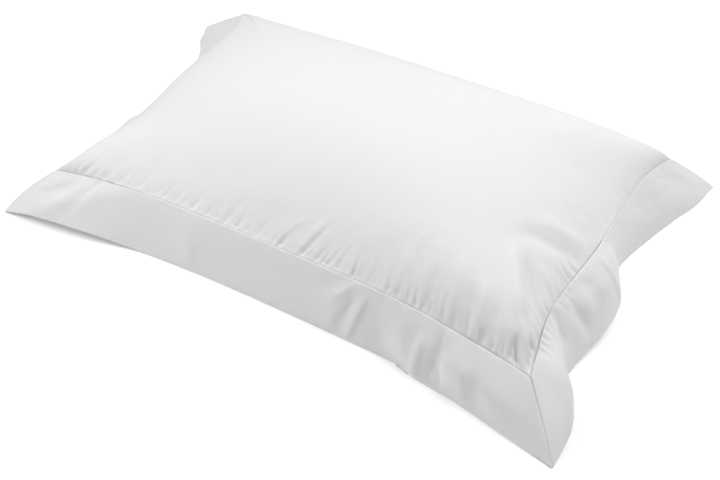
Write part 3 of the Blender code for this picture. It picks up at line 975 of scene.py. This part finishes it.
class PILLOWCASE_OT_borders(Operator):
    """Make the four border strips of double cloth, each with folded edges and its own creases"""

    bl_idname = "pillowcase.borders"
    bl_label = "Border Strips"

    def execute(self, context):
        sizes = context.scene.pillowcase_sizes
        colours = context.scene.pillowcase_colours
        cotton = plain_woven_cotton("cotton_percale_border", colours.cotton)
        thread = twisted_thread("twisted_polyester_thread", colours.thread)
        for side in SIDES:
            self.make_strip(side, sizes, cotton, thread)
        return {"FINISHED"}

    def make_strip(self, side, sizes, cotton, thread):
        """One strip of border and its row of stitches."""
        length = STRIP_LENGTH[side]
        place = eased_places(length, STRIP_STEP, STRIP_EDGE_STEP) * 2.0 - 1.0
        width = eased_places(BORDER_WIDTH, STRIP_STEP, STRIP_EDGE_STEP)
        piece, cells = slab("border_strip_" + side, len(place) - 1, len(width) - 1)
        top = self.shape_top(side, place, width, strip_surface(side, place, width, True, sizes), sizes)
        bottom = strip_surface(side, place, width, False, sizes)
        column, row, layer = cells.T
        set_coordinates(piece.data, np.where(layer[:, None] == 1, top[column, row], bottom[column, row]))
        keep_flat_places(piece.data, place[column] * length / 2.0, width[row] * BORDER_WIDTH, layer)
        close_outward(piece)
        lay_cloth_map(piece.data)
        finish_piece(piece, cotton)
        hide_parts("border_" + side)
        sewn = int(np.argmin(np.abs(width * BORDER_WIDTH - STITCH_INSET)))
        stitches = self.sew_row(side, top[:, sewn], sizes)
        stitches.data.materials.append(thread)
        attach(stitches, BODY)

    def shape_top(self, side, place, width, top, sizes):
        """Presses the creases into the upper cloth, and rolls it down at its folded edges."""
        normal = unit(np.cross(np.gradient(top, axis=0), np.gradient(top, axis=1)))
        normal *= np.sign(normal[..., 2:3])
        half_length = STRIP_LENGTH[side] / 2.0
        long, wide = half_length * 1000.0, BORDER_WIDTH * 1000.0
        creases = [(start * long, low * wide, end * long, high * wide, *shape)
                   for start, low, end, high, *shape in BORDER_CREASES[side]]
        flat_x, flat_y = place[:, None] * long, width[None, :] * wide
        heights = crease_field(flat_x, flat_y, creases)
        seam_x = place[:, None] * (long - wide)
        heights += pucker_field(seam_x, flat_y, BORDER_PUCKERS[side], GATHER_SEEDS[side][1])
        across = BORDER_WIDTH * np.minimum(width, 1.0 - width)[None, :]
        along = half_length * (1.0 - np.abs(place))[:, None]
        edge = np.minimum(across, along) * 1000.0
        heights = heights / 1000.0 * ease(edge / CREASE_MARGIN + BORDER_CREASE_LEFT)
        folded = np.clip(1.0 - across / sizes.edge_radius, 0.0, 1.0)
        mitred = np.clip(1.0 - along / MITRE_ROLL[0], 0.0, 1.0)
        roll = (1.0 - np.sqrt(1.0 - folded**2)) * FOLD_DEPTH
        roll = np.maximum(roll, mitred**1.5 * MITRE_ROLL[1]) * sizes.border_thickness
        return top + normal * (heights - roll)[..., None]

    def sew_row(self, side, line, sizes):
        """Models one stitch, and sets a copy of it wherever the thread shows along a line."""
        deselect_all()
        bpy.ops.mesh.primitive_uv_sphere_add(segments=8, ring_count=5, radius=0.5)
        stitch = bpy.context.object
        points = coordinates(stitch.data)[:, (2, 1, 0)] * (1.0, 1.0, -1.0)
        dip = STITCH_DIP * (2.0 * points[:, 0]) ** 2
        points *= (sizes.stitch_length * STITCH_SHOWN, sizes.thread_width, sizes.thread_width)
        points[:, 2] -= dip
        set_coordinates(stitch.data, points)
        steps = np.linalg.norm(np.diff(line, axis=0), axis=1)
        reached = travelled(steps)
        count = int((reached[-1] - 2.0 * STITCH_INSET) / sizes.stitch_length)
        middles = reached[-1] / 2.0 + (np.arange(count) - (count - 1) / 2.0) * sizes.stitch_length
        half = sizes.stitch_length / 3.0
        copies = []
        for middle in middles:
            start, end = (np.array([np.interp(at, reached, line[:, axis]) for axis in range(3)])
                          for at in (middle - half, middle + half))
            run = unit(end - start)
            aside = unit(np.cross(UP, run))
            turn = np.column_stack((run, aside, np.cross(run, aside)))
            copy = bpy.data.objects.new("stitch", stitch.data.copy())
            set_coordinates(copy.data, points @ turn.T + (start + end) / 2.0)
            bpy.context.scene.collection.objects.link(copy)
            copies.append(copy)
        bpy.data.objects.remove(stitch, do_unlink=True)
        deselect_all()
        for copy in copies:
            copy.select_set(True)
        bpy.context.view_layer.objects.active = copies[0]
        bpy.ops.object.join()
        row = bpy.context.object
        row.name = row.data.name = "stitch_row_" + side
        bpy.ops.object.shade_smooth()
        return row


class PILLOWCASE_OT_stage(Operator):
    """Make the floor, the soft lights and the camera"""

    bl_idname = "pillowcase.stage"
    bl_label = "Studio"

    def execute(self, context):
        stage = context.scene.pillowcase_stage
        colours = context.scene.pillowcase_colours
        deselect_all()
        bpy.ops.mesh.primitive_plane_add(size=FLOOR_SIZE, location=(0.0, 0.0, FLOOR_HEIGHT))
        floor = context.object
        floor.name = "studio_floor"
        floor.data.materials.append(matt_paper("matt_paper_floor", colours.floor, stage.floor_glow))

        for name, place, size, power in SOFTBOXES:
            light = bpy.data.lights.new(name, "AREA")
            light.shape = "RECTANGLE"
            light.size, light.size_y = size
            light.energy = getattr(stage, power)
            self.set_up(context, name, light, place, SOFTBOX_AIM)

        world = bpy.data.worlds.new("studio_room")
        context.scene.world = world
        world.use_nodes = True
        set_inputs(world.node_tree.nodes["Background"], {"Color": WHITE, "Strength": stage.sky})

        camera = bpy.data.cameras.new("studio_camera")
        camera.sensor_width = SENSOR_WIDTH
        camera.lens = stage.lens
        context.scene.camera = self.set_up(context, "studio_camera", camera, CAMERA_PLACE, CAMERA_AIM)
        context.scene.view_settings.view_transform = "Standard"
        context.scene.view_settings.look = "None"
        return {"FINISHED"}

    def set_up(self, context, name, data, place, aim):
        """Sets up a light or the camera at its place, looking at its aim."""
        holder = bpy.data.objects.new(name, data)
        context.scene.collection.objects.link(holder)
        holder.location = place
        view = Vector(aim) - holder.location
        holder.rotation_euler = view.to_track_quat("-Z", "Y").to_euler()
        return holder


class PILLOWCASE_PT_panel(Panel):
    bl_idname = "PILLOWCASE_PT_panel"
    bl_label = "Pillowcase"
    bl_space_type = "VIEW_3D"
    bl_region_type = "UI"
    bl_category = "Pillowcase"

    def draw(self, context):
        layout = self.layout
        for group in GROUPS:
            settings = getattr(context.scene, group)
            box = layout.box()
            for name in settings.__annotations__:
                box.prop(settings, name)
        for operator in ("pillowcase.case", "pillowcase.borders", "pillowcase.stage"):
            layout.operator(operator)


GROUPS = {
    "pillowcase_sizes": PillowcaseSizes,
    "pillowcase_colours": PillowcaseColours,
    "pillowcase_stage": PillowcaseStage,
}
CLASSES = (*GROUPS.values(), PILLOWCASE_OT_case, PILLOWCASE_OT_borders, PILLOWCASE_OT_stage,
           PILLOWCASE_PT_panel)


def register():
    for item in CLASSES:
        bpy.utils.register_class(item)
    for name, group in GROUPS.items():
        setattr(bpy.types.Scene, name, PointerProperty(type=group))


def unregister():
    for name in GROUPS:
        delattr(bpy.types.Scene, name)
    for item in reversed(CLASSES):
        bpy.utils.unregister_class(item)


def main():
    register()
    bpy.ops.pillowcase.case()
    bpy.ops.pillowcase.borders()
    bpy.ops.pillowcase.stage()


if __name__ == "__main__":
    main()
